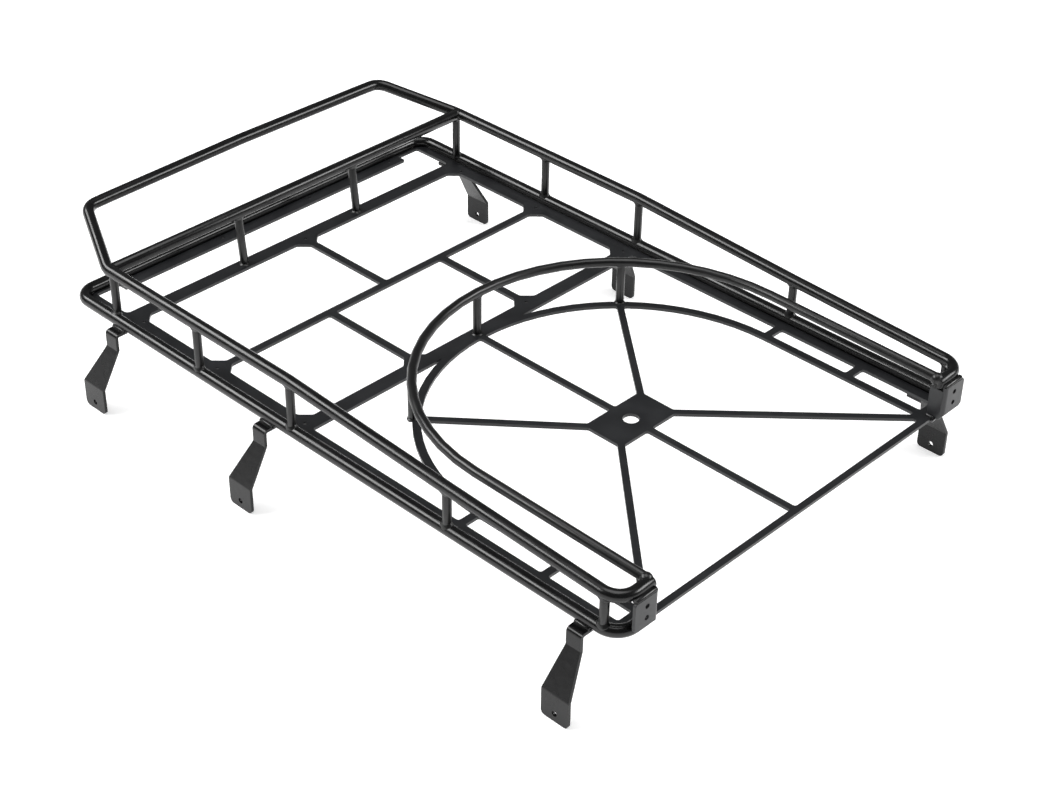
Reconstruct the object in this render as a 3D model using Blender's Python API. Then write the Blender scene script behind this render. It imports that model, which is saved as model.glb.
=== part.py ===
"""Roof rack for a tenth-scale off-road truck: welded round bar over a laser-cut floor sheet,
with a raised front hoop, a spare-wheel hoop at the back and six feet of bent sheet.

Metres, +Z up, +Y forward, +X to the rack's right. The feet stand on Z = 0.
Lengths along the rack are given as distances back from its first pair of posts."""

import math

import bmesh
import bpy
from mathutils import Matrix, Vector

# ---------------------------------------------------------------- driving dimensions
RAIL_HALF = 0.075  # middle of the rack to the middle of a side rail
RAIL_R = 0.0019  # round bar of both rails and the cross rail
POST_R = 0.00135  # round bar of the posts
HOOP_R = 0.0015  # round bar of the wheel hoop
GAP = 0.0003  # between pieces that meet

RAIL_Z = 0.0300  # ground to the middle of the lower rail
FRONT_RISE = 0.0172  # lower rail to upper rail, first to third post
MID_RISE = 0.0140  # the same at the fourth post
REAR_RISE = 0.0116  # the same at the back

NOSE_AHEAD = 0.0195  # first posts forward to the lower rail's front run
VISOR_AHEAD = 0.0279  # first posts forward to the top bar of the raised hoop
VISOR_RISE = 0.0062  # upper rail up to the ends of that bar
VISOR_CROWN = 0.0010  # the bar's middle above its ends
VISOR_IN = 0.0125  # how far its legs lean inward
THIRD_BACK = 0.0845  # first posts back to the third pair and the wide strip
TAIL_BACK = 0.2112  # first posts back to the rails' cross runs at the tail
NOSE_BEND = 0.006  # bend radius of the lower rail's front corners
TAIL_BEND = 0.0060  # bend radius of both rails at the tail
VISOR_BEND = 0.0055  # bend radius of the raised hoop's corners

SHEET_T = 0.0010  # thickness of the floor sheet, the feet and the corner plates
RIM_IN = 0.0070  # rail's middle to the sheet's inner edge, front half
RIM_IN_TAIL = 0.0055  # the same, back half
RIM_IN_NOSE = 0.0050  # the same, ahead of the first wide strip
STRIP_HALF = 0.0026  # half width of the two wide strips
BAR_HALF = 0.0013  # half width of the narrow bars and the ring
SPOKE_HALF = 0.0011  # half width of the spokes and the rear bar
FIRST_STRIP = 0.0020  # first posts back to the first wide strip
BAR_SPREAD = 0.024  # the two short bars from the rack's middle
WEB = 0.0033  # chamfer of the gussets
HOLE_R = 0.0006  # tapped holes in the gussets
NICK = 0.0008  # radius left in the sheet's inside corners

RING_IN = 0.0122  # side rail in to the ring's middle line
HUB_HALF_X = 0.0123  # centre plate
HUB_HALF_Y = 0.0073
HUB_HOLE_R = 0.0025
HOOP_FRONT_RISE = 0.0141  # lower rail up to the wheel hoop's front
HOOP_REAR_RISE = 0.0125  # and up to its ends

CORNER_OUT = 0.0026  # side rail in to the outer edge of a corner plate
CORNER_SPAN = 0.0091  # width of its rear face
CORNER_TAB = 0.0056  # length of its inner leg
CORNER_TOP = 0.0107  # lower rail up to the top of its rear face
CORNER_BOTTOM = 0.0004  # and up to the bottom
CORNER_HOLES = (0.0042, 0.0080)  # lower rail up to its two holes
CORNER_HOLE_R = 0.0008

FOOT_OUT = 0.0100  # side rail out to a foot's end plate
FOOT_IN = 0.0050  # side rail in to the end of a foot's flange
NECK_OUT = 0.0040  # side rail out to a foot's neck
NECK_HALF = 0.0026
PAD_HALF = 0.0049  # half width of a foot's end plate
NECK_DROP = 0.0079  # lower rail down to the end of the neck
PAD_DROP = 0.0210  # lower rail down to the top of the end plate
PAD_HOLE_R = 0.0009
PAD_HOLE_Z = 0.0027  # ground to the hole

# ---------------------------------------------------------------- sizes that follow from them
RING_R = RAIL_HALF - RING_IN
HOOP_RADIUS = RING_R + 0.0012
RING_BACK = THIRD_BACK + RING_R + 0.0015
PLATE_T = SHEET_T
CORNER_BACK = TAIL_BACK + RAIL_R + GAP + PLATE_T
FRONT_Y = (CORNER_BACK - VISOR_AHEAD - RAIL_R) / 2  # puts the origin under the rack's middle
POST_BACKS = (0.0, THIRD_BACK / 2, THIRD_BACK, RING_BACK, TAIL_BACK - TAIL_BEND + 0.0010)
FIRST_POST_IN = 0.0012  # the first posts stand a little inside the rail's middle
FRONT_POST_X = 0.0245
SHEET_BOTTOM = RAIL_Z - RAIL_R  # the sheet lies level with the underside of the rail
SHEET_TOP = SHEET_BOTTOM + SHEET_T
EDGE_IN = math.sqrt(RAIL_R**2 - (RAIL_R - SHEET_T) ** 2) + GAP  # rail's middle to the sheet's edge
EDGE_X = RAIL_HALF - EDGE_IN
CORNER_OUTER_X = RAIL_HALF - CORNER_OUT
CORNER_INNER_X = CORNER_OUTER_X - CORNER_SPAN
REAR_FOOT = TAIL_BACK - 0.0116
FEET = (  # each foot's side, name, end plate and neck, the last two behind the first posts
    (-1, "left_front", -0.0006, 0.0032),
    (-1, "left_middle", 0.0712, 0.0743),
    (-1, "left_rear", REAR_FOOT, REAR_FOOT + 0.0004),
    (1, "right_front", -0.0004, -0.0027),
    (1, "right_middle", 0.0708, 0.0743),
    (1, "right_rear", REAR_FOOT, REAR_FOOT + 0.0004),
)


def back(distance):
    """Y of a point that lies this far behind the first posts."""
    return FRONT_Y - distance


# ---------------------------------------------------------------- an empty scene
for obj in list(bpy.data.objects):
    bpy.data.objects.remove(obj, do_unlink=True)
rack = bpy.data.collections.new("roof_rack")
helpers = bpy.data.collections.new("cutters")
bpy.context.scene.collection.children.link(rack)
bpy.context.scene.collection.children.link(helpers)
helpers.hide_render = True


def paint(name, colour, roughness, metallic=0.0):
    material = bpy.data.materials.new(name)
    material.use_nodes = True
    shader = material.node_tree.nodes["Principled BSDF"]
    shader.inputs["Base Color"].default_value = (*colour, 1.0)
    shader.inputs["Roughness"].default_value = roughness
    shader.inputs["Metallic"].default_value = metallic
    return material


BAR_PAINT = paint("powder_coated_bar", (0.020, 0.020, 0.021), 0.34)
SHEET_PAINT = paint("powder_coated_sheet", (0.026, 0.027, 0.029), 0.45)
FOOT_PAINT = paint("powder_coated_foot", (0.024, 0.024, 0.025), 0.42)


def keep(obj, name, material, cutter=False, smooth=None):
    """Names a finished mesh, gives it its material and puts it with the parts or the cutters."""
    obj.name = name
    obj.data.name = name
    obj.data.materials.clear()
    obj.data.materials.append(material)
    (helpers if cutter else rack).objects.link(obj)
    obj.hide_render = cutter
    if cutter:
        obj.display_type = "WIRE"
    if smooth is not None:
        obj.data.shade_smooth()
        obj.data.set_sharp_from_angle(angle=math.radians(smooth))
    return obj


def mesh_of_curve(data):
    """The mesh of a curve, closed where its walls meet its caps."""
    curve = bpy.data.objects.new("curve", data)
    bpy.context.scene.collection.objects.link(curve)
    graph = bpy.context.evaluated_depsgraph_get()
    mesh = bpy.data.meshes.new_from_object(curve.evaluated_get(graph))
    bpy.data.objects.remove(curve, do_unlink=True)
    shape = bmesh.new()
    shape.from_mesh(mesh)
    bmesh.ops.remove_doubles(shape, verts=shape.verts, dist=1e-6)
    bmesh.ops.recalc_face_normals(shape, faces=shape.faces)
    shape.to_mesh(mesh)
    shape.free()
    return mesh


def fillet(points, radius, steps=5, closed=False):
    """The polyline with its corners rounded. A corner may carry its own radius as a last entry."""
    rounded = []
    count = len(points)
    for i, (corner, own) in enumerate(points):
        size = radius if own is None else own
        here = Vector(corner)
        if size <= 0 or (not closed and i in (0, count - 1)):
            rounded.append(here)
            continue
        before = Vector(points[i - 1][0]) - here
        after = Vector(points[(i + 1) % count][0]) - here
        opening = before.angle(after)
        if opening > math.radians(179):
            rounded.append(here)
            continue
        reach = size / math.tan(opening / 2)
        centre = here + (before.normalized() + after.normalized()).normalized() * (
            size / math.sin(opening / 2)
        )
        start = (here + before.normalized() * reach - centre).normalized()
        end = (here + after.normalized() * reach - centre).normalized()
        for k in range(steps + 1):
            rounded.append(centre + start.slerp(end, k / steps) * size)
    return rounded


def tube(name, path, radius, material, cutter=False):
    """A round bar along the path, with flat ends."""
    data = bpy.data.curves.new("path", "CURVE")
    data.dimensions = "3D"
    data.bevel_depth = radius
    data.bevel_resolution = 4 if radius > 0.0016 else 3
    data.use_fill_caps = True
    spline = data.splines.new("POLY")
    spline.points.add(len(path) - 1)
    for point, place in zip(spline.points, path):
        point.co = (*place, 1.0)
    obj = bpy.data.objects.new("bar", mesh_of_curve(data))
    return keep(obj, name, material, cutter, 40)


FACING = {
    "Z": Matrix(((1, 0, 0), (0, 1, 0), (0, 0, 1))),  # outline in X and Y
    "Y": Matrix(((1, 0, 0), (0, 0, 1), (0, 1, 0))),  # outline in X and Z
    "X": Matrix(((0, 0, 1), (1, 0, 0), (0, 1, 0))),  # outline in Y and Z
}


def slab(outlines, axis, low, high):
    """The mesh of a flat outline, with its holes, given thickness between low and high."""
    data = bpy.data.curves.new("outline", "CURVE")
    data.dimensions = "2D"
    data.fill_mode = "BOTH"
    data.extrude = (high - low) / 2
    for outline in outlines:
        spline = data.splines.new("POLY")
        spline.use_cyclic_u = True
        spline.points.add(len(outline) - 1)
        for point, place in zip(spline.points, outline):
            point.co = (place[0], place[1], 0.0, 1.0)
    mesh = mesh_of_curve(data)
    mesh.transform(Matrix.Translation((0, 0, (low + high) / 2)))
    mesh.transform(FACING[axis].to_4x4())
    shape = bmesh.new()
    shape.from_mesh(mesh)
    bmesh.ops.recalc_face_normals(shape, faces=shape.faces)
    shape.to_mesh(mesh)
    shape.free()
    return mesh


def circle(x, y, radius, sides=16):
    turn = 2 * math.pi / sides
    return [(x + radius * math.cos(k * turn), y + radius * math.sin(k * turn)) for k in range(sides)]


def combine(obj, others, operation):
    """Applies a Boolean with each of the others, leaving one plain mesh."""
    for other in others:
        modifier = obj.modifiers.new(operation.lower(), "BOOLEAN")
        modifier.operation = operation
        modifier.solver = "EXACT"
        modifier.object = other
    graph = bpy.context.evaluated_depsgraph_get()
    mesh = bpy.data.meshes.new_from_object(obj.evaluated_get(graph))
    obj.modifiers.clear()
    obj.data = mesh
    return obj


def block(name, low, high):
    """A box cutter between two corners."""
    outline = [(low[0], low[1]), (high[0], low[1]), (high[0], high[1]), (low[0], high[1])]
    return keep(bpy.data.objects.new("box", slab([outline], "Z", low[2], high[2])), name, SHEET_PAINT, True)


# ---------------------------------------------------------------- the two rails
def lower_path():
    tail = back(TAIL_BACK)
    nose = back(-NOSE_AHEAD)
    end = CORNER_INNER_X + PLATE_T + GAP
    half = [((end, tail, RAIL_Z), None), ((RAIL_HALF, tail, RAIL_Z), TAIL_BEND)]
    half.append(((RAIL_HALF, nose, RAIL_Z), NOSE_BEND))
    other = [((-x, y, z), own) for (x, y, z), own in reversed(half)]
    return fillet(half + other, 0)


def upper_path(beyond=0.0):
    level = RAIL_Z + FRONT_RISE
    low = RAIL_Z + REAR_RISE
    tail = back(TAIL_BACK)
    end = CORNER_INNER_X + GAP - beyond
    half = [((end, tail, low), None), ((RAIL_HALF, tail, low), TAIL_BEND)]
    half.append(((RAIL_HALF, back(RING_BACK), RAIL_Z + MID_RISE), 0))
    half.append(((RAIL_HALF, back(THIRD_BACK), level), 0))
    half.append(((RAIL_HALF, back(-0.001), level), 0.008))
    reach = RAIL_HALF - VISOR_IN
    for k in range(5):
        share = 1 - k / 5
        rise = VISOR_RISE + VISOR_CROWN * (1 - share * share)
        spot = (reach * share, back(-VISOR_AHEAD), level + rise)
        half.append((spot, VISOR_BEND if k == 0 else 0))
    other = [((-x, y, z), own) for (x, y, z), own in reversed(half)]
    return fillet(half + other, 0)


def hoop_path():
    front_y = back(RING_BACK) + HOOP_RADIUS
    tail_y = back(TAIL_BACK)

    def height(y):
        share = (y - tail_y) / (front_y - tail_y)
        return RAIL_Z + HOOP_REAR_RISE + share * (HOOP_FRONT_RISE - HOOP_REAR_RISE)

    turns = 28
    arc = []
    for k in range(turns + 1):
        angle = math.pi * k / turns
        y = back(RING_BACK) + HOOP_RADIUS * math.sin(angle)
        arc.append(Vector((HOOP_RADIUS * math.cos(angle), y, height(y))))
    first = Vector((HOOP_RADIUS, tail_y, height(tail_y)))
    last = Vector((-HOOP_RADIUS, tail_y, height(tail_y)))
    return [first] + arc + [last]


cross_z = RAIL_Z + FRONT_RISE
cross_path = [Vector((-RAIL_HALF, back(0), cross_z)), Vector((RAIL_HALF, back(0), cross_z))]

tube("lower_rail", lower_path(), RAIL_R, BAR_PAINT)
tube("upper_rail", upper_path(), RAIL_R, BAR_PAINT)
around_lower = tube("around_lower_rail", lower_path(), RAIL_R + GAP, BAR_PAINT, True)
around_upper = tube("around_upper_rail", upper_path(0.002), RAIL_R + GAP, BAR_PAINT, True)
around_cross = tube("around_cross_rail", cross_path, RAIL_R + GAP, BAR_PAINT, True)
around_hoop = tube("around_wheel_hoop", hoop_path(), HOOP_R + GAP, BAR_PAINT, True)

front_cross_rail = tube("front_cross_rail", cross_path, RAIL_R, BAR_PAINT)
combine(front_cross_rail, [around_upper], "DIFFERENCE")
wheel_hoop = tube("wheel_hoop", hoop_path(), HOOP_R, BAR_PAINT)
combine(wheel_hoop, [around_upper], "DIFFERENCE")

# ---------------------------------------------------------------- posts, coped to the bars they meet
under_posts = block("under_posts", (-0.1, back(0.25), 0.0), (0.1, back(-0.05), SHEET_TOP + GAP))


def post(name, foot, head, cutters):
    obj = tube(name, [Vector(foot), Vector(head)], POST_R, BAR_PAINT)
    return combine(obj, cutters, "DIFFERENCE")


rises = (FRONT_RISE, FRONT_RISE, FRONT_RISE, MID_RISE, REAR_RISE)
for side, word in ((-1, "left"), (1, "right")):
    for number, (distance, rise) in enumerate(zip(POST_BACKS, rises), 1):
        x = side * (RAIL_HALF - (FIRST_POST_IN if number == 1 else 0))
        foot = (x, back(distance), RAIL_Z)
        head = (x, back(distance), RAIL_Z + rise)
        cutters = [around_lower, around_upper] + ([around_cross] if number == 1 else [])
        post(f"side_post_{word}_{number}", foot, head, cutters)
    foot = (side * FRONT_POST_X, back(FIRST_STRIP), SHEET_BOTTOM)
    head = (side * FRONT_POST_X, back(0), cross_z)
    post(f"front_post_{word}", foot, head, [around_cross, under_posts])

for word, degrees in (("right", 45), ("front", 90), ("left", 135)):
    x = HOOP_RADIUS * math.cos(math.radians(degrees))
    y = back(RING_BACK) + HOOP_RADIUS * math.sin(math.radians(degrees))
    foot = (x, y, SHEET_BOTTOM)
    head = (x, y, RAIL_Z + HOOP_FRONT_RISE - 0.0003)
    post(f"hoop_post_{word}", foot, head, [around_hoop, under_posts])

# ---------------------------------------------------------------- the floor sheet
strip_1 = back(FIRST_STRIP)
bar_2 = back(THIRD_BACK / 2 + 0.001)
strip_3 = back(THIRD_BACK)
rear_bar = back(TAIL_BACK - 0.0013)
ring_y = back(RING_BACK)
rim = RAIL_HALF - RIM_IN
rim_tail = RAIL_HALF - RIM_IN_TAIL
rim_nose = RAIL_HALF - RIM_IN_NOSE
ties = (ring_y, (ring_y + back(TAIL_BACK)) / 2)
tail_y = back(TAIL_BACK) + RAIL_R + 1.5 * GAP  # where the sheet ends beside the corner plates


def meet(a, b):
    """Where two lines, each given by two points, cross."""
    (x1, y1), (x2, y2) = a
    (x3, y3), (x4, y4) = b
    turn = (x1 - x2) * (y3 - y4) - (y1 - y2) * (x3 - x4)
    first = x1 * y2 - y1 * x2
    second = x3 * y4 - y3 * x4
    x = (first * (x3 - x4) - second * (x1 - x2)) / turn
    y = (first * (y3 - y4) - second * (y1 - y2)) / turn
    return (x, y)


def beside(line, offset):
    """The line moved sideways to its left."""
    (x1, y1), (x2, y2) = line
    length = math.hypot(x2 - x1, y2 - y1)
    dx = -(y2 - y1) / length * offset
    dy = (x2 - x1) / length * offset
    return ((x1 + dx, y1 + dy), (x2 + dx, y2 + dy))


def on_ring(line, radius):
    """Where the line leaves a circle about the ring's middle."""
    (x1, y1), (x2, y2) = line
    dx, dy = x2 - x1, y2 - y1
    oy = y1 - ring_y
    a = dx * dx + dy * dy
    b = x1 * dx + oy * dy
    c = x1 * x1 + oy * oy - radius * radius
    t = (-b + math.sqrt(b * b - a * c)) / a
    return (x1 + dx * t, y1 + dy * t)


def arc_between(start, end, radius, steps):
    """Points of the circle about the ring's middle, from start to end, ends left out."""
    a = math.atan2(start[1] - ring_y, start[0])
    b = math.atan2(end[1] - ring_y, end[0])
    spots = [a + (b - a) * k / steps for k in range(1, steps)]
    return [((radius * math.cos(t), ring_y + radius * math.sin(t)), 0) for t in spots]


def chamfer(corner, toward_x, toward_y, size=WEB):
    """The two points that cut a corner of an opening off at 45 degrees."""
    x, y = corner
    return [((x + toward_x * size, y), 0.0012), ((x, y + toward_y * size), 0.0012)]


def mirror(opening):
    return [((-x, y), own) for (x, y), own in reversed(opening)]


def plain(corners):
    return [(corner, None) for corner in corners]


step_x = rim - 0.007
nose_inner = back(-0.0132)
nose_outer = back(-0.0165)
front = [((rim_nose, strip_1 + STRIP_HALF), 0.0015), ((rim_nose, nose_outer), None)]
front.append(((step_x, nose_outer), 0.0004))
front.append(((step_x, nose_inner), 0.0004))
openings = [front + mirror(front)]

top = strip_1 - STRIP_HALF
low = bar_2 + BAR_HALF
second = chamfer((BAR_HALF, top), 1, -1)[::-1] + chamfer((rim, top), -1, -1)
second += chamfer((rim, low), -1, 1)[::-1] + plain([(BAR_HALF, low)])
openings += [second, mirror(second)]

top = bar_2 - BAR_HALF
low = strip_3 + STRIP_HALF
inner = BAR_SPREAD - BAR_HALF
middle = plain([(inner, top)]) + chamfer((inner, low), -1, 1)[::-1]
openings.append(middle + mirror(middle))
outer = BAR_SPREAD + BAR_HALF
third = plain([(outer, top)]) + chamfer((rim, top), -1, -1)
third += chamfer((rim, low), -1, 1)[::-1] + chamfer((outer, low), 1, 1)
openings += [third, mirror(third)]

ring_out = RING_R + BAR_HALF
ring_in = RING_R - BAR_HALF
strip_back = strip_3 - STRIP_HALF
crotch = (math.sqrt(ring_out**2 - (strip_back - ring_y) ** 2), strip_back)
tie_front = ties[0] + BAR_HALF
landing = (math.sqrt(ring_out**2 - BAR_HALF**2), tie_front)
crescent = [(crotch, 0), ((rim_tail, strip_back), None), ((rim_tail, tie_front), None), (landing, 0)]
crescent += arc_between(landing, crotch, ring_out, 14)
openings += [crescent, mirror(crescent)]
for ahead, behind in ((ties[0], ties[1]), (ties[1], tail_y + BAR_HALF)):
    high, low = ahead - BAR_HALF, behind + BAR_HALF
    window = plain([(ring_out, high), (rim_tail, high), (rim_tail, low), (ring_out, low)])
    openings += [window, mirror(window)]

hub_front, hub_back = ring_y + HUB_HALF_Y, ring_y - HUB_HALF_Y
spoke_ahead = ((HUB_HALF_X, hub_front), (RING_R * math.sqrt(0.5), ring_y + RING_R * math.sqrt(0.5)))
spoke_behind = ((HUB_HALF_X, hub_back), (RING_R, rear_bar))
hub_top = ((0, hub_front), (1, hub_front))
hub_side = ((HUB_HALF_X, 0), (HUB_HALF_X, 1))
hub_low = ((0, hub_back), (1, hub_back))
leg = ((ring_in, 0), (ring_in, 1))
bar_front = ((0, rear_bar + SPOKE_HALF), (1, rear_bar + SPOKE_HALF))

upper_edge = beside(spoke_ahead, SPOKE_HALF)
on_arc = on_ring(upper_edge, ring_in)
top_of_arc = (SPOKE_HALF, ring_y + math.sqrt(ring_in**2 - SPOKE_HALF**2))
sector = plain([(SPOKE_HALF, hub_front)]) + [(top_of_arc, NICK)]
sector += arc_between(top_of_arc, on_arc, ring_in, 9) + [(on_arc, NICK)]
sector += plain([meet(upper_edge, hub_top)])
openings += [sector, mirror(sector)]

lower_edge = beside(spoke_ahead, -SPOKE_HALF)
from_spoke = on_ring(lower_edge, ring_in)
front_of_leg = (ring_in, ring_y)
near_edge = beside(spoke_behind, SPOKE_HALF)
sector = plain([meet(lower_edge, hub_side)]) + [(from_spoke, NICK)]
sector += arc_between(from_spoke, front_of_leg, ring_in, 9) + [(front_of_leg, 0)]
sector += plain([meet(near_edge, leg), meet(near_edge, hub_side)])
openings += [sector, mirror(sector)]

far_edge = beside(spoke_behind, -SPOKE_HALF)
sector = plain([(SPOKE_HALF, hub_back), meet(far_edge, hub_low), meet(far_edge, bar_front)])
sector += plain([(SPOKE_HALF, rear_bar + SPOKE_HALF)])
openings += [sector, mirror(sector)]

holes = [(0, ring_y, HUB_HOLE_R)]
holes.append((0, strip_1 - 0.0018, HOLE_R))
for side in (-1, 1):
    holes += [(side * x, back(-0.0160), HOLE_R) for x in (0.019, 0.056)]
    holes.append((side * BAR_SPREAD, strip_3 + 0.0018, HOLE_R))
    holes.append((side * (rim + 0.0012), strip_1 - 0.0052, HOLE_R))
    holes += [(side * (rim + 0.0014), y, HOLE_R) for y in (bar_2, strip_3 + 0.0010)]

nose_edge = back(-NOSE_AHEAD) - EDGE_IN
bend_y = back(TAIL_BACK - TAIL_BEND)
corner_x = CORNER_INNER_X + PLATE_T
half = [((0, nose_edge), 0), ((EDGE_X, nose_edge), NOSE_BEND - EDGE_IN), ((EDGE_X, bend_y), 0)]
half += [((rim_tail, tail_y), 0), ((corner_x, tail_y), 0), ((corner_x, rear_bar - SPOKE_HALF), 0)]
boundary = half + mirror(half[1:])
outlines = [fillet([((x, y, 0), own) for (x, y), own in boundary], 0, 4, True)]
for opening in openings:
    outlines.append(fillet([((x, y, 0), own) for (x, y), own in opening], NICK, 3, True))
outlines += [circle(x, y, r, 24 if r > 0.002 else 12) for x, y, r in holes]
sheet = slab(outlines, "Z", SHEET_BOTTOM, SHEET_TOP)
keep(bpy.data.objects.new("sheet", sheet), "floor_sheet", SHEET_PAINT)


# ---------------------------------------------------------------- sheet-metal pieces
def folded(name, material, plan, rear, edge):
    """A bent sheet, kept where its plan, rear and side outlines agree."""
    far = 0.4
    body = keep(bpy.data.objects.new("folded", slab(plan, "Z", -far, far)), name, material)
    cutters = []
    for word, outlines_of, axis in (("rear", rear, "Y"), ("edge", edge, "X")):
        shape = bpy.data.objects.new(word, slab(outlines_of, axis, -far, far))
        cutters.append(keep(shape, f"{name}_{word}", material, True))
    combine(body, cutters, "INTERSECT")
    body.data.materials.clear()
    body.data.materials.append(material)
    return body


def rounded(corners, radius=0.0, steps=4):
    return fillet([((*c[:2], 0), c[2] if len(c) > 2 else None) for c in corners], radius, steps, True)


def strap(points, thickness, radius):
    """The side outline of a bent strap of one thickness along its middle line."""
    line = fillet([((*p, 0), None) for p in points], radius, 4)
    left, right = [], []
    for i, spot in enumerate(line):
        ahead = line[min(i + 1, len(line) - 1)] - spot
        behind = spot - line[max(i - 1, 0)]
        run = (ahead.normalized() + behind.normalized()).normalized()
        lean = ahead.angle(behind) / 2 if ahead.length and behind.length else 0
        reach = thickness / 2 / math.cos(lean)
        normal = Vector((-run.y, run.x, 0)) * reach
        left.append(spot + normal)
        right.append(spot - normal)
    return left + right[::-1]


for side, word in ((-1, "left"), (1, "right")):
    outer, inner = CORNER_OUTER_X, CORNER_INNER_X
    face_y = back(CORNER_BACK)
    tab_y = face_y + CORNER_TAB
    plan = [(outer, face_y), (outer, face_y + PLATE_T), (inner + PLATE_T, face_y + PLATE_T)]
    plan += [(inner + PLATE_T, tab_y), (inner, tab_y), (inner, face_y, 0.0012)]
    top_z, low_z = RAIL_Z + CORNER_TOP, RAIL_Z + CORNER_BOTTOM
    tab_top_z, tab_low_z = RAIL_Z + REAR_RISE - RAIL_R - GAP, SHEET_TOP + GAP
    rear = [(outer, top_z, 0.0008), (inner, top_z), (inner, tab_low_z), (inner + PLATE_T, tab_low_z)]
    rear += [(inner + PLATE_T, low_z), (outer - 0.0024, low_z, 0.0006), (outer, low_z + 0.0016, 0.0006)]
    bores = [circle(side * (inner + outer) / 2, RAIL_Z + z, CORNER_HOLE_R, 14) for z in CORNER_HOLES]
    edge = [(tab_y, tab_low_z, 0.0008), (tab_y, tab_top_z), (face_y + PLATE_T + GAP / 2, tab_top_z)]
    edge += [(face_y + PLATE_T + GAP / 2, top_z), (face_y, top_z), (face_y, low_z + 0.0008, 0.0006)]
    edge += [(face_y + 0.0016, tab_low_z)]
    plan = [(side * p[0], *p[1:]) for p in plan]
    rear = [(side * p[0], *p[1:]) for p in rear]
    folded(f"corner_plate_{word}", SHEET_PAINT, [rounded(plan)], [rounded(rear)] + bores, [rounded(edge)])

for side, place, pad, neck in FEET:
    pad_y, neck_y = back(pad), back(neck)
    seat_z = SHEET_BOTTOM - GAP - PLATE_T / 2
    inner, bend, reach = RAIL_HALF - FOOT_IN, RAIL_HALF + NECK_OUT, RAIL_HALF + FOOT_OUT
    middle = [(inner, seat_z), (bend, seat_z), (bend, RAIL_Z - NECK_DROP)]
    middle += [(reach, RAIL_Z - PAD_DROP), (reach, 0.0)]
    side_view = [(side * p[0], p[1]) for p in strap(middle, PLATE_T, 0.0009)]
    mid_x, half_x = side * (inner + reach) / 2, (reach - inner) / 2 + 0.005
    plan = [(mid_x - half_x, neck_y - 0.02), (mid_x + half_x, neck_y - 0.02)]
    plan += [(mid_x + half_x, neck_y + 0.02), (mid_x - half_x, neck_y + 0.02)]
    outline = [(neck_y, RAIL_Z), (neck_y, RAIL_Z - NECK_DROP, 0.004), (pad_y, RAIL_Z - PAD_DROP, 0.004)]
    outline += [(pad_y, 0.0, 0.0015)]
    halves = (NECK_HALF, NECK_HALF, PAD_HALF, PAD_HALF)
    one = [(p[0] - half, *p[1:]) for p, half in zip(outline, halves)]
    other = [(p[0] + half, *p[1:]) for p, half in zip(outline, halves)]
    pad_hole = circle(pad_y, PAD_HOLE_Z, PAD_HOLE_R, 14)
    folded(f"foot_{place}", FOOT_PAINT, [plan], [side_view], [rounded(one + other[::-1]), pad_hole])
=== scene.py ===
"""The looks of a roof rack for a tenth-scale off-road truck: round bar and laser-cut sheet,
welded up and powder-coated satin black, on a white studio floor."""

import math

import bmesh
import bpy
from mathutils import Matrix, Vector, noise


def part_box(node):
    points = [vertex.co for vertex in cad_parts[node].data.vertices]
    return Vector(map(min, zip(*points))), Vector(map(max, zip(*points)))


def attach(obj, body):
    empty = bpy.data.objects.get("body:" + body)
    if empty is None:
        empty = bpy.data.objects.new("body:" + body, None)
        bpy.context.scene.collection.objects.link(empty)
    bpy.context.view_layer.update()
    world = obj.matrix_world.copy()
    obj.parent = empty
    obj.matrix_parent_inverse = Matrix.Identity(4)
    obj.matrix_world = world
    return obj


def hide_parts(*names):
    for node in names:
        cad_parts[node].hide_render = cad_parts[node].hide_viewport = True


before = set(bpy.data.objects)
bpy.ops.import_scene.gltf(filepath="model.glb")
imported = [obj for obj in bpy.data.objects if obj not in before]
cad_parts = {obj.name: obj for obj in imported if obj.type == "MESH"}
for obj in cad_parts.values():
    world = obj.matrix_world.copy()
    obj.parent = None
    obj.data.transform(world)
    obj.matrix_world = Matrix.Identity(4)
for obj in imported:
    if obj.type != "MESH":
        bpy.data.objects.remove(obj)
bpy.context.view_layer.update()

# ================================================================ lower rail
# One length of 3.8 mm round steel bar, bent round four corners and open at the tail, where
# its two ends meet the corner plates. Bent cold, so the bends are smooth and keep their
# thickness. Powder-coated with the rest after welding.
rail_low, rail_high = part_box("lower_rail")
sheet_low, sheet_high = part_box("floor_sheet")
BAR_R = (rail_high.z - rail_low.z) / 2
RAIL_X = rail_high.x - BAR_R
RAIL_Z = (rail_high.z + rail_low.z) / 2
NOSE_Y = rail_high.y - BAR_R
TAIL_Y = rail_low.y + BAR_R
NOSE_BEND = 0.0060  # bend radii, to the middle of the bar
TAIL_BEND = 0.0060


def linear(hex_colour):
    """The linear colour of an sRGB hex value."""
    parts = [int(hex_colour[i : i + 2], 16) / 255 for i in (1, 3, 5)]
    return [c / 12.92 if c <= 0.04045 else ((c + 0.055) / 1.055) ** 2.4 for c in parts] + [1.0]


def add_node(tree, kind, settings=(), **links):
    """A node with its settings and input values. i0 is the input numbered 0, and a link is
    given as (node, output name)."""
    node = tree.nodes.new(kind)
    for name, value in dict(settings).items():
        setattr(node, name, value)
    for name, value in links.items():
        key = int(name[1:]) if name[1:].isdigit() else name.replace("_", " ")
        socket = node.inputs[key]
        if isinstance(value, tuple):
            tree.links.new(value[0].outputs[value[1]], socket)
        else:
            socket.default_value = value
    return node


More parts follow.
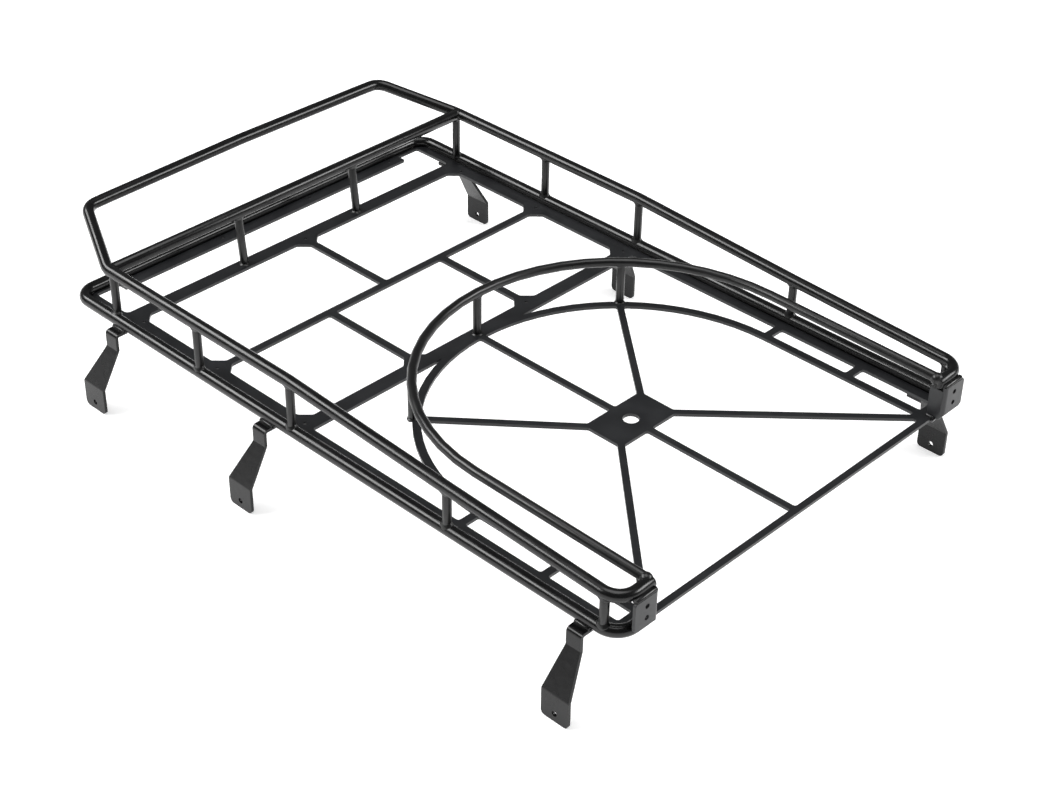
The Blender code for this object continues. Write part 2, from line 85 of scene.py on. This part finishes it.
def powder_coat(name, colour, mottle, worn, roughness, peel, index=1.5):
    """Polyester powder, sprayed on and baked: it flows into a satin skin about 0.08 mm thick.
    The skin has the faint waves of an orange's peel, fine grit in it, a patchy sheen, and it
    runs thin over sharp edges, where it looks a little paler. Index is the resin's refractive
    index: a lower one reflects less of the room."""
    material = bpy.data.materials.new(name)
    material.use_nodes = True
    tree = material.node_tree
    shader = tree.nodes["Principled BSDF"]
    place = add_node(tree, "ShaderNodeTexCoord")
    spot = (place, "Object")
    # Scales are per metre: waves 2.2 mm apart, patches 9 mm across and grit of 0.25 mm, drawn
    # about twice as coarse as it is so that it shows.
    noise_kind = "ShaderNodeTexNoise"
    waves = add_node(tree, noise_kind, Vector=spot, Scale=450.0, Detail=1.5, Roughness=0.4)
    patches = add_node(tree, noise_kind, Vector=spot, Scale=110.0, Detail=3.0, Roughness=0.55)
    grit = add_node(tree, noise_kind, Vector=spot, Scale=2200.0, Detail=2.0, Roughness=0.6)
    spread = {"i1": 0.36, "i2": 0.66, "i3": 0.0, "i4": 1.0}
    tone = add_node(tree, "ShaderNodeMapRange", i0=(patches, "Fac"), **spread)
    base = add_node(tree, "ShaderNodeMix", {"data_type": "RGBA"}, i0=(tone, "Result"))
    base.inputs[6].default_value = linear(colour)
    base.inputs[7].default_value = linear(mottle)
    edge = add_node(tree, "ShaderNodeAttribute", {"attribute_name": "edge"})
    product = {"operation": "MULTIPLY"}
    thin = add_node(tree, "ShaderNodeMath", product, i0=(edge, "Fac"), i1=(grit, "Fac"))
    skin = add_node(tree, "ShaderNodeMix", {"data_type": "RGBA"}, i0=(thin, "Value"))
    tree.links.new(base.outputs[2], skin.inputs[6])
    skin.inputs[7].default_value = linear(worn)
    tree.links.new(skin.outputs[2], shader.inputs["Base Color"])
    spread = {"i1": 0.3, "i2": 0.7, "i3": roughness - 0.05, "i4": roughness + 0.06}
    sheen = add_node(tree, "ShaderNodeMapRange", i0=(patches, "Fac"), **spread)
    tree.links.new(sheen.outputs["Result"], shader.inputs["Roughness"])
    rough = add_node(tree, "ShaderNodeBump", Height=(grit, "Fac"), Strength=0.12, Distance=0.00004)
    peaks = {"Height": (waves, "Fac"), "Strength": peel, "Distance": 0.0002}
    orange_peel = add_node(tree, "ShaderNodeBump", Normal=(rough, "Normal"), **peaks)
    tree.links.new(orange_peel.outputs["Normal"], shader.inputs["Normal"])
    shader.inputs["IOR"].default_value = index
    return material


# Near black, with one crisp bright line along each bar and a slight orange peel.
BAR_TONES = ("#090909", "#0d0d0e", "#242424")  # the skin, its patches and its thin edges
BAR_COAT = powder_coat("satin_powder_coat_on_bar", *BAR_TONES, 0.23, 0.08, 1.45)


def ring_of(found):
    """The edges of the ring that an operator left at the far end of a bar."""
    fresh = {item for item in found if isinstance(item, bmesh.types.BMVert)}
    edges = [item for item in found if isinstance(item, bmesh.types.BMEdge)]
    return [edge for edge in edges if edge.verts[0] in fresh and edge.verts[1] in fresh]


def bent_bar(shape, corners, radius, sides=24):
    """Runs a round bar through the corners, as a bender would: straight, then round, then straight.
    Each corner is a point and its bend radius. The ends are sawn square and rounded off a little."""
    points = [Vector(point) for point, bend in corners]
    heading = (points[1] - points[0]).normalized()
    square = heading.to_track_quat("Z", "Y").to_matrix().to_4x4()
    start = Matrix.Translation(points[0]) @ square
    circle = bmesh.ops.create_circle(shape, segments=sides, radius=radius, matrix=start)["verts"]
    ring = list({edge for vert in circle for edge in vert.link_edges})
    ends = list(ring)
    here = points[0]
    for number, (point, bend) in enumerate(corners[1:], 1):
        corner = points[number]
        last = number == len(points) - 1
        onward = heading if last else (points[number + 1] - corner).normalized()
        angle = heading.angle(onward)
        reach = bend * math.tan(angle / 2)
        stop = corner - heading * reach
        run = bmesh.ops.extrude_edge_only(shape, edges=ring)["geom"]
        moved = [item for item in run if isinstance(item, bmesh.types.BMVert)]
        bmesh.ops.translate(shape, verts=moved, vec=stop - here)
        ring = ring_of(run)
        here = stop
        if last or angle < 1e-4:
            continue
        axis = heading.cross(onward).normalized()
        centre = here + axis.cross(heading) * bend
        steps = max(2, math.ceil(math.degrees(angle) / 7))
        around = {"cent": centre, "axis": axis, "angle": angle, "steps": steps, "dvec": (0, 0, 0)}
        bent = bmesh.ops.spin(shape, geom=moved + ring, use_duplicate=False, **around)["geom_last"]
        ring = ring_of(bent)
        here = corner + onward * reach
        heading = onward
    ends += ring
    bmesh.ops.contextual_create(shape, geom=ends[:sides])
    bmesh.ops.contextual_create(shape, geom=ring)
    rim = {"offset": radius * 0.15, "offset_type": "OFFSET", "segments": 2, "profile": 0.5}
    bmesh.ops.bevel(shape, geom=ends, affect="EDGES", material=-1, **rim)


def keep(name, shape, coat, slot, *nodes):
    """Makes the shape a piece of the rack that stands for its CAD nodes."""
    bmesh.ops.recalc_face_normals(shape, faces=shape.faces)
    mesh = bpy.data.meshes.new(name)
    shape.to_mesh(mesh)
    shape.free()
    mesh.materials.append(coat)
    mesh.shade_smooth()
    mesh.set_sharp_from_angle(angle=math.radians(50))
    piece = bpy.data.objects.new(name, mesh)
    bpy.context.scene.collection.objects.link(piece)
    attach(piece, "root")
    if nodes:
        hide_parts(*nodes)
    return piece


plate_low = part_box("corner_plate_right")[0]
PLATE_T = sheet_high.z - sheet_low.z
RAIL_END = plate_low.x + PLATE_T
half = [((RAIL_END, TAIL_Y, RAIL_Z), 0), ((RAIL_X, TAIL_Y, RAIL_Z), TAIL_BEND)]
half.append(((RAIL_X, NOSE_Y, RAIL_Z), NOSE_BEND))
other = [((-x, y, z), bend) for (x, y, z), bend in reversed(half)]
shape = bmesh.new()
bent_bar(shape, half + other, BAR_R)
keep("lower_rail_bar", shape, BAR_COAT, "powder_coated_bar", "lower_rail")

# ================================================================ floor sheet
# 1 mm steel sheet, cut in one piece by laser: rims, cross strips, bars with webbed corners,
# a ring for the spare wheel and a centre plate on six spokes. Its edges are left square by
# the laser, and the coat rounds them a little. A seam of weld joins it to the rail.
# A cooler dark grey than the bars, and duller, with the paler line of a thin coat on edges.
SHEET_TONES = ("#191a1c", "#1f2022", "#333436")
SHEET_COAT = powder_coat("satin_powder_coat_on_sheet", *SHEET_TONES, 0.34, 0.14)
EDGE_ROUND = 0.00013


def coated_sheet(name, node, coat, slot):
    """The CAD node's own shape, with its sharp edges rounded by the coat."""
    shape = bmesh.new()
    shape.from_mesh(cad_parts[node].data)
    bmesh.ops.remove_doubles(shape, verts=shape.verts, dist=2e-6)
    flat = {"angle_limit": math.radians(1.0), "verts": shape.verts, "edges": shape.edges}
    bmesh.ops.dissolve_limit(shape, use_dissolve_boundaries=False, delimit=set(), **flat)
    closed = [edge for edge in shape.edges if edge.is_manifold]
    sharp = [edge for edge in closed if edge.calc_face_angle() > math.radians(35)]
    mark = shape.faces.layers.float.new("edge")
    size = {"offset": EDGE_ROUND, "offset_type": "OFFSET", "segments": 2, "profile": 0.5}
    kind = {"affect": "EDGES", "material": -1, "clamp_overlap": True}
    rounded = bmesh.ops.bevel(shape, geom=sharp, **kind, **size)
    for face in rounded["faces"]:
        face[mark] = 1.0
    piece = keep(name, shape, coat, slot, node)
    weigh = piece.modifiers.new("even_shading", "WEIGHTED_NORMAL")
    weigh.keep_sharp = True
    return piece


coated_sheet("floor_sheet_cut", "floor_sheet", SHEET_COAT, "powder_coated_sheet")

# The bead lies low in the groove between the sheet's edge and the rail, in their shadow.
SEAM_R = 0.0006
seam_x = sheet_high.x + SEAM_R
seam_y = sheet_high.y + SEAM_R
seam_z = sheet_low.z + 0.0002
seam_start = ((seam_x, TAIL_Y + TAIL_BEND, seam_z), 0)
half = [seam_start, ((seam_x, seam_y, seam_z), NOSE_BEND - (RAIL_X - seam_x))]
other = [((-x, y, z), bend) for (x, y, z), bend in reversed(half)]
shape = bmesh.new()
bent_bar(shape, half + other, SEAM_R, 10)
keep("floor_seam_weld", shape, BAR_COAT, "powder_coated_bar")

# ================================================================ upper rail
# The same bar as the lower rail, bent cold. It drops a little over its rear half, and at the
# front it leans in and up into the raised hoop, whose top bar is slightly crowned. Its ends
# stop under the wheel hoop's at the tail.
upper_low, upper_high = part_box("upper_rail")
cross_low, cross_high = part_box("front_cross_rail")
third_low, third_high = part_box("side_post_right_3")
fourth_low, fourth_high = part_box("side_post_right_4")
hoop_low, hoop_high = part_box("wheel_hoop")
HOOP_BAR_R = 0.0015
UPPER_Z = (cross_low.z + cross_high.z) / 2
CROSS_Y = (cross_low.y + cross_high.y) / 2
UPPER_TAIL_Z = upper_low.z + BAR_R
THIRD_Y = (third_low.y + third_high.y) / 2
FOURTH_Y = (fourth_low.y + fourth_high.y) / 2
FOURTH_Z = RAIL_Z + 0.0140  # the lower rail up to the upper one at the fourth post
KINK_BEND = 0.03  # a hardly visible bend where the rail starts to drop
VISOR_Y = upper_high.y - BAR_R
CROWN = 0.0010
VISOR_Z = upper_high.z - BAR_R - CROWN
VISOR_X = RAIL_X - 0.0125  # its legs lean in by this much
UPPER_END = hoop_high.x - HOOP_BAR_R * 1.7
tail_y = upper_low.y + BAR_R

# The top bar is one long bend: its corner lies above the crown that the bend leaves.
crown_corner = 1.7 * CROWN
crown_turn = 2 * math.atan(crown_corner / VISOR_X)
crown_bend = (VISOR_X - 0.008) / math.tan(crown_turn / 2)
half = [((UPPER_END, tail_y, UPPER_TAIL_Z), 0), ((RAIL_X, tail_y, UPPER_TAIL_Z), TAIL_BEND)]
half.append(((RAIL_X, FOURTH_Y, FOURTH_Z), KINK_BEND))
half.append(((RAIL_X, THIRD_Y, UPPER_Z), KINK_BEND))
half.append(((RAIL_X, CROSS_Y + 0.0010, UPPER_Z), 0.0080))
half.append(((VISOR_X, VISOR_Y, VISOR_Z), 0.0055))
middle = [((0, VISOR_Y, VISOR_Z + crown_corner), crown_bend)]
other = [((-x, y, z), bend) for (x, y, z), bend in reversed(half)]
shape = bmesh.new()
bent_bar(shape, half + middle + other, BAR_R)
keep("upper_rail_bar", shape, BAR_COAT, "powder_coated_bar", "upper_rail")

# ================================================================ side posts
# Short lengths of 2.7 mm bar, coped to the rails and welded all round by hand. The beads
# are about 0.7 mm wide and a little uneven, and the coat softens them into flares.
POST_R = (third_high.x - third_low.x) / 2
BEAD = 0.00075
# The same powder as on the rails, baked a little duller on the thin bars.
THIN_TONES = ("#090909", "#0e0e0f", "#242424")
THIN_COAT = powder_coat("satin_powder_coat_on_thin_bar", *THIN_TONES, 0.32, 0.08)


def facing(origin, outward, along):
    """The place of a bar's end: Z runs outward along it, and Y along what it is welded to."""
    z = Vector(outward).normalized()
    x = Vector(along).cross(z).normalized()
    turn = Matrix((x, z.cross(x), z)).transposed().to_4x4()
    return Matrix.Translation(origin) @ turn


def on_bar(radius, offset=0.0, stop=1.0):
    """The skin of a bar along Y whose middle lies offset to one side of the post's."""

    def seat(x, y):
        angle = max(-1.45, min(1.45, (x - offset) / radius))
        return Vector((offset + radius * math.sin(angle), max(-stop, y), radius * math.cos(angle)))

    return seat


def on_sheet(normal):
    """A flat face with this normal, in the post's own frame."""

    def seat(x, y):
        return Vector((x, y, -(normal.x * x + normal.y * y) / normal.z))

    return seat


def weld(shape, place, radius, seat, bead=BEAD):
    """A fillet of weld round the end of a bar, on whatever the bar is seated on."""
    toe = radius + bead
    root = radius - 0.0002
    # A hollow fillet from the bar down to its toe, and its buried underside.
    fillet = ((0.16, 0.62), (0.42, 0.28), (0.75, 0.07))
    outline = [(root, bead)] + [(radius + bead * out, bead * up) for out, up in fillet]
    outline += [(toe, -0.00004), (toe, -0.0003), (root, -0.0003)]
    ring = [shape.verts.new((r, 0, h)) for r, h in outline]
    edges = [shape.edges.new((a, b)) for a, b in zip(ring, ring[1:] + ring[:1])]
    around = {"cent": (0, 0, 0), "axis": (0, 0, 1), "dvec": (0, 0, 0)}
    around.update(angle=2 * math.pi, steps=28)
    before = set(shape.verts) - set(ring)
    bmesh.ops.spin(shape, geom=ring + edges, use_merge=True, use_duplicate=False, **around)
    for vert in set(shape.verts) - before:
        x, y, h = vert.co
        reach = math.hypot(x, y)
        spread = max(0.0, (reach - radius) / bead)
        # A bead laid by hand: its width wanders by about a tenth.
        wander = 1 + 0.16 * spread * noise.noise(place @ vert.co * 900)
        on_seat = seat(x * wander, y * wander)
        straight = Vector((x, y, on_seat.z))
        vert.co = place @ (straight.lerp(on_seat, min(1.0, spread)) + Vector((0, 0, h)))


def straight_bar(shape, start, end, radius):
    bent_bar(shape, [(start, 0), (end, 0)], radius, 20)


for side, word in ((-1, "left"), (1, "right")):
    for number in range(1, 6):
        node = f"side_post_{word}_{number}"
        low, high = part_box(node)
        x = side * (abs(low.x + high.x) / 2)
        y = (low.y + high.y) / 2
        along = max(0.0, min(1.0, (THIRD_Y - y) / (THIRD_Y - FOURTH_Y)))
        rear = max(0.0, min(1.0, (FOURTH_Y - y) / (FOURTH_Y - tail_y)))
        top = UPPER_Z + (FOURTH_Z - UPPER_Z) * along + (UPPER_TAIL_Z - FOURTH_Z) * rear
        inset = side * RAIL_X - x
        shape = bmesh.new()
        straight_bar(shape, (x, y, RAIL_Z), (x, y, top), POST_R)
        foot = facing((x, y, RAIL_Z), (0, 0, 1), (0, 1, 0))
        weld(shape, foot, POST_R, on_bar(BAR_R, inset))
        if number == 1:
            weld(shape, facing((x, CROSS_Y, top), (0, 0, -1), (1, 0, 0)), POST_R, on_bar(BAR_R))
        else:
            weld(shape, facing((x, y, top), (0, 0, -1), (0, 1, 0)), POST_R, on_bar(BAR_R, -inset))
        keep(f"post_{word}_{number}", shape, THIN_COAT, "powder_coated_bar", node)

# ================================================================ front cross rail
# A straight length of the rail's bar between the two sides, with two short posts of the
# thin bar that lean back from it to the floor's first wide strip.
shape = bmesh.new()
straight_bar(shape, (-RAIL_X, CROSS_Y, UPPER_Z), (RAIL_X, CROSS_Y, UPPER_Z), BAR_R)
for side in (-1, 1):
    place = facing((side * RAIL_X, CROSS_Y, UPPER_Z), (-side, 0, 0), (0, 1, 0))
    weld(shape, place, BAR_R, on_bar(BAR_R), 0.0006)
keep("cross_rail_bar", shape, BAR_COAT, "powder_coated_bar", "front_cross_rail")

for word in ("left", "right"):
    node = f"front_post_{word}"
    low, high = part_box(node)
    x = (low.x + high.x) / 2
    base = Vector((x, low.y + POST_R, sheet_high.z))
    head = Vector((x, CROSS_Y, UPPER_Z))
    lean = (head - base).normalized()
    shape = bmesh.new()
    straight_bar(shape, base - lean * 0.0005, head, POST_R)
    place = facing(base, lean, (1, 0, 0))
    weld(shape, place, POST_R, on_sheet(place.to_3x3().inverted() @ Vector((0, 0, 1))), 0.0006)
    weld(shape, facing(head, -lean, (1, 0, 0)), POST_R, on_bar(BAR_R))
    keep(f"front_post_{word}_bar", shape, THIN_COAT, "powder_coated_bar", node)

# ================================================================ wheel hoop
# 3 mm bar bent to a U that cradles the spare wheel. Its ends rest on those of the upper
# rail at the tail, under a lump of weld each, and three thin posts hold it up in front.
HOOP_BEND = hoop_high.x - HOOP_BAR_R
ring_y = hoop_high.y - HOOP_BAR_R - HOOP_BEND
front_z = hoop_high.z - HOOP_BAR_R
hoop_tail_z = hoop_low.z + HOOP_BAR_R
slope = (front_z - hoop_tail_z) / (ring_y + HOOP_BEND - tail_y)


def hoop_z(y):
    return hoop_tail_z + slope * (y - tail_y)


reach_y = ring_y + HOOP_BEND
almost_round = HOOP_BEND * 0.999  # a hair under the half width, so that the two bends don't meet
half = [((HOOP_BEND, tail_y, hoop_z(tail_y)), 0)]
half.append(((HOOP_BEND, reach_y, hoop_z(reach_y)), almost_round))
other = [((-x, y, z), bend) for (x, y, z), bend in reversed(half)]
shape = bmesh.new()
bent_bar(shape, half + other, HOOP_BAR_R, 22)
for side in (-1, 1):
    place = Matrix.Translation((side * HOOP_BEND, tail_y + BAR_R * 0.5, hoop_tail_z - 0.0003))
    lump = {"u_segments": 24, "v_segments": 14, "radius": HOOP_BAR_R * 1.3}
    bmesh.ops.create_uvsphere(shape, matrix=place, **lump)
keep("wheel_hoop_bar", shape, THIN_COAT, "powder_coated_bar", "wheel_hoop")

for word in ("left", "front", "right"):
    node = f"hoop_post_{word}"
    low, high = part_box(node)
    x, y = (low.x + high.x) / 2, (low.y + high.y) / 2
    outward = Vector((x, y - ring_y, 0)).normalized()
    tangent = Vector((-outward.y, outward.x, 0))
    head = Vector((x, y, hoop_z(y)))
    base = Vector((x, y, sheet_high.z))
    shape = bmesh.new()
    straight_bar(shape, base - Vector((0, 0, 0.0005)), head, POST_R)
    weld(shape, facing(base, (0, 0, 1), tangent), POST_R, on_sheet(Vector((0, 0, 1))), 0.0004)
    weld(shape, facing(head, (0, 0, -1), tangent), POST_R, on_bar(HOOP_BAR_R), 0.0006)
    keep(f"hoop_post_{word}_bar", shape, THIN_COAT, "powder_coated_bar", node)

# ================================================================ corner plates
# 1 mm sheet folded into an L, with two small holes for a lamp. The rear face is welded along
# its top to the upper rail. The leg is welded to the floor below it and the hoop above it,
# and covers the end of the lower rail.
for side, word in ((-1, "left"), (1, "right")):
    node = f"corner_plate_{word}"
    low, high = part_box(node)
    coated_sheet(f"{node}_folded", node, SHEET_COAT, "powder_coated_sheet")
    inner, outer = (low.x, high.x) if side > 0 else (high.x, low.x)
    shape = bmesh.new()
    # Along the plate's top, in the groove below the rail.
    groove = (low.y + PLATE_T, high.z + 0.0001)
    straight_bar(shape, (inner + side * 0.0004, *groove), (outer - side * 0.0008, *groove), 0.0009)
    # Along the leg, to the floor below it and the hoop above it.
    leg_x = inner + side * PLATE_T / 2
    for x, z in ((inner, sheet_high.z + 0.0002), (leg_x, UPPER_TAIL_Z - BAR_R)):
        straight_bar(shape, (x, tail_y - 0.0004, z), (x, high.y - 0.0002, z), 0.0006)
    # Down the end of the lower rail.
    foot_of_leg = (inner, tail_y - 0.0006, sheet_low.z + 0.0004)
    straight_bar(shape, foot_of_leg, (inner, tail_y + 0.0008, sheet_high.z), 0.0009)
    keep(f"corner_weld_{word}", shape, BAR_COAT, "powder_coated_bar")

# ================================================================ feet
# 1 mm sheet, cut narrow at the neck and wide at the end plate, bent four times and welded
# by its flange under the rail and the floor's rim. One hole takes the screw to the body.
# As dark as the bars but less glossy, so that the pale floor hardly shows in it.
FOOT_TONES = ("#09090a", "#0e0e0f", "#262627")
FOOT_COAT = powder_coat("satin_powder_coat_on_feet", *FOOT_TONES, 0.24, 0.12, 1.36)
for word in ("left", "right"):
    for place_word in ("front", "middle", "rear"):
        node = f"foot_{word}_{place_word}"
        low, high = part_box(node)
        side = -1 if word == "left" else 1
        coated_sheet(f"{node}_bent", node, FOOT_COAT, "powder_coated_foot")
        flange = [v.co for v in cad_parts[node].data.vertices if v.co.z > high.z - PLATE_T]
        front, back = max(co.y for co in flange), min(co.y for co in flange)
        shape = bmesh.new()
        for y in (front, back):
            start = (side * (RAIL_X - 0.0012), y, high.z + 0.0001)
            straight_bar(shape, start, (side * (RAIL_X + 0.0010), y, high.z + 0.0001), 0.00045)
        x = side * (RAIL_X + 0.0012)
        straight_bar(shape, (x, back, high.z + 0.0002), (x, front, high.z + 0.0002), 0.0006)
        keep(f"{node}_weld", shape, BAR_COAT, "powder_coated_bar")

# ================================================================ studio
# A white acrylic light table, lit from under as well as from above, so that the rack stands
# on pure white with hardly a shadow. One softbox in front and one at the right give the bars
# a single bright line each, and the surroundings are dim, which keeps flat tops dark.
floor_shape = bmesh.new()
bmesh.ops.create_grid(floor_shape, x_segments=1, y_segments=1, size=4.0)
floor_mesh = bpy.data.meshes.new("studio_floor")
floor_shape.to_mesh(floor_mesh)
floor_shape.free()
floor = bpy.data.objects.new("studio_floor", floor_mesh)
bpy.context.scene.collection.objects.link(floor)
table = bpy.data.materials.new("white_acrylic_table")
table.use_nodes = True
acrylic = table.node_tree.nodes["Principled BSDF"]
acrylic.inputs["Base Color"].default_value = linear("#f4f4f4")
acrylic.inputs["Roughness"].default_value = 0.9
acrylic.inputs["Specular IOR Level"].default_value = 0.0
acrylic.inputs["Emission Color"].default_value = linear("#ffffff")
acrylic.inputs["Emission Strength"].default_value = 0.45
floor_mesh.materials.append(table)


def softbox(name, place, width, depth, watts):
    """A rectangular light that faces the middle of the rack."""
    data = bpy.data.lights.new(name, "AREA")
    data.shape = "RECTANGLE"
    data.size, data.size_y = width, depth
    data.energy = watts
    lamp = bpy.data.objects.new(name, data)
    lamp.location = place
    toward_rack = Vector((0.0, 0.0, 0.0)) - Vector(place)
    lamp.rotation_euler = toward_rack.to_track_quat("-Z", "Y").to_euler()
    bpy.context.scene.collection.objects.link(lamp)


softbox("front_softbox", (-0.70, 0.95, 1.05), 1.30, 0.50, 22.0)
softbox("side_softbox", (1.05, -1.10, 0.90), 0.95, 0.50, 16.0)
softbox("overhead_softbox", (0.0, 0.0, 1.8), 1.2, 1.2, 14.0)

world = bpy.data.worlds.new("dim_studio")
world.use_nodes = True
world.node_tree.nodes["Background"].inputs["Color"].default_value = linear("#6a6a6a")
world.node_tree.nodes["Background"].inputs["Strength"].default_value = 1.0
bpy.context.scene.world = world
bpy.context.scene.view_settings.view_transform = "Standard"

# The camera stands behind the rack's left rear corner and looks down on it by about 35 degrees.
camera_data = bpy.data.cameras.new("camera")
camera_data.lens = 70.97
camera_data.sensor_width = 36.0
camera_data.clip_start = 0.01
camera = bpy.data.objects.new("camera", camera_data)
right = Vector((0.6963, -0.7177, 0.0140))
down = Vector((-0.4037, -0.4076, -0.8191))
forward = Vector((0.5935, 0.5646, -0.5735))
camera.matrix_world = Matrix.Translation((-0.3796, -0.3746, 0.3811)) @ Matrix(
    (right, -down, -forward)
).transposed().to_4x4()
bpy.context.scene.collection.objects.link(camera)
bpy.context.scene.camera = camera
